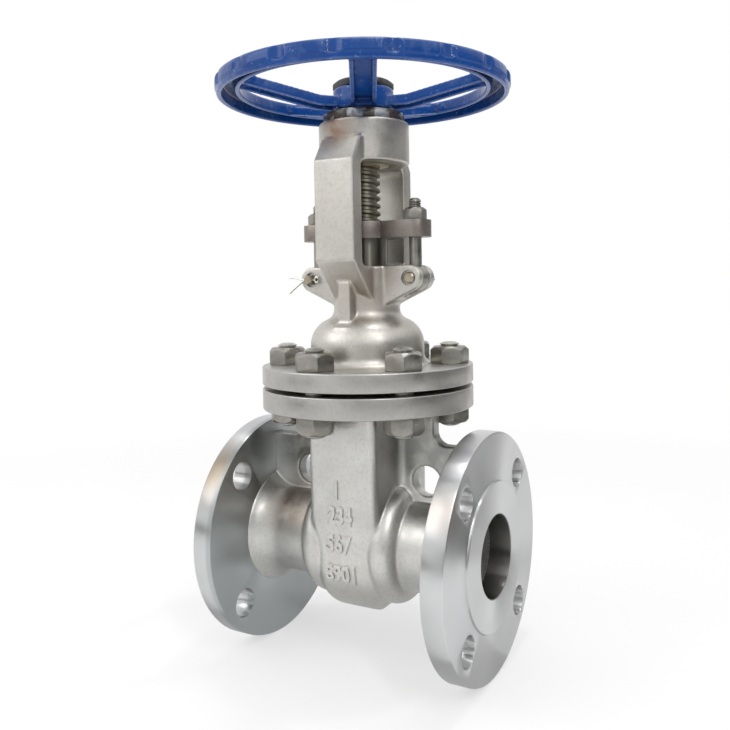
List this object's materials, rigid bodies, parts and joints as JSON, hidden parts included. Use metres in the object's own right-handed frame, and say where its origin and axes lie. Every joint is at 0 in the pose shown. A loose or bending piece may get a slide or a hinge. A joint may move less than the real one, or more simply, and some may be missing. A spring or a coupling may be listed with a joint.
{
  "type": "flanged gate valve",
  "caption": "Flanged cast steel gate valve with bolted bonnet, outside screw and yoke, rising stem and spoked blue handwheel.",
  "frame": {"origin": "centre of the inlet flange's raised face, on the pipe's axis", "axes": "+X along the pipe towards the outlet, +Y across the pipe, +Z along the stem towards the handwheel"},
  "size_m": [0.191, 0.191, 0.3774],
  "materials": {
    "body_casting": "blasted cast stainless steel with machined flange rims and faces",
    "bonnet_casting": "blasted cast stainless steel",
    "seat_steel": "turned stainless steel",
    "gate_steel": "lapped stainless steel",
    "stem_steel": "greased turned steel",
    "gasket": "black graphite sheet",
    "packing": "braided graphite",
    "gland_steel": "turned stainless steel",
    "gland_flange_steel": "dull cast steel",
    "bolting_steel": "dull stainless bolting",
    "pin_steel": "turned steel",
    "wire_steel": "bright wire",
    "sleeve_metal": "greased bronze",
    "retainer_steel": "oily dark steel",
    "wheel_enamel": "glossy blue enamel",
    "wheel_nut_steel": "dark steel"
  },
  "bodies": {
    "valve": {"body": "body_casting", "seat_ring_inlet": "seat_steel", "seat_ring_outlet": "seat_steel", "bonnet_gasket": "gasket", "bonnet": "bonnet_casting", "stem_packing": "packing", "gland": "gland_steel", "gland_flange": "gland_flange_steel", "eye_bolt_left": "bolting_steel", "eye_bolt_right": "bolting_steel", "eye_bolt_pin_left": "pin_steel", "eye_bolt_pin_right": "pin_steel", "split_pin_left": "wire_steel", "split_pin_right": "wire_steel", "eye_bolt_nut_left": "bolting_steel", "eye_bolt_nut_right": "bolting_steel", "sleeve_retainer": "retainer_steel", "bonnet_stud_1": "bolting_steel", "bonnet_stud_2": "bolting_steel", "bonnet_stud_3": "bolting_steel", "bonnet_stud_4": "bolting_steel", "bonnet_stud_5": "bolting_steel", "bonnet_stud_6": "bolting_steel", "upper_nut_1": "bolting_steel", "upper_nut_2": "bolting_steel", "upper_nut_3": "bolting_steel", "upper_nut_4": "bolting_steel", "upper_nut_5": "bolting_steel", "upper_nut_6": "bolting_steel", "lower_nut_1": "bolting_steel", "lower_nut_2": "bolting_steel", "lower_nut_3": "bolting_steel", "lower_nut_4": "bolting_steel", "lower_nut_5": "bolting_steel", "lower_nut_6": "bolting_steel"},
    "stem": {"stem": "stem_steel", "gate": "gate_steel"},
    "wheel": {"yoke_sleeve": "sleeve_metal", "handwheel": "wheel_enamel", "wheel_nut": "wheel_nut_steel"}
  },
  "joints": [
    {"name": "wheel_turn", "type": "hinge", "parent": "valve", "child": "wheel", "pos_m": [0.089, 0, 0.29], "axis": [0, 0, 1], "range_deg": [0, 4032]},
    {"name": "stem_lift", "type": "slide", "parent": "valve", "child": "stem", "axis": [0, 0, 1], "range_m": [0, 0.056]}
  ],
  "couplings": [
    {"joint": "stem_lift", "follows": "wheel_turn", "m_per_rad": 0.00079577}
  ]
}
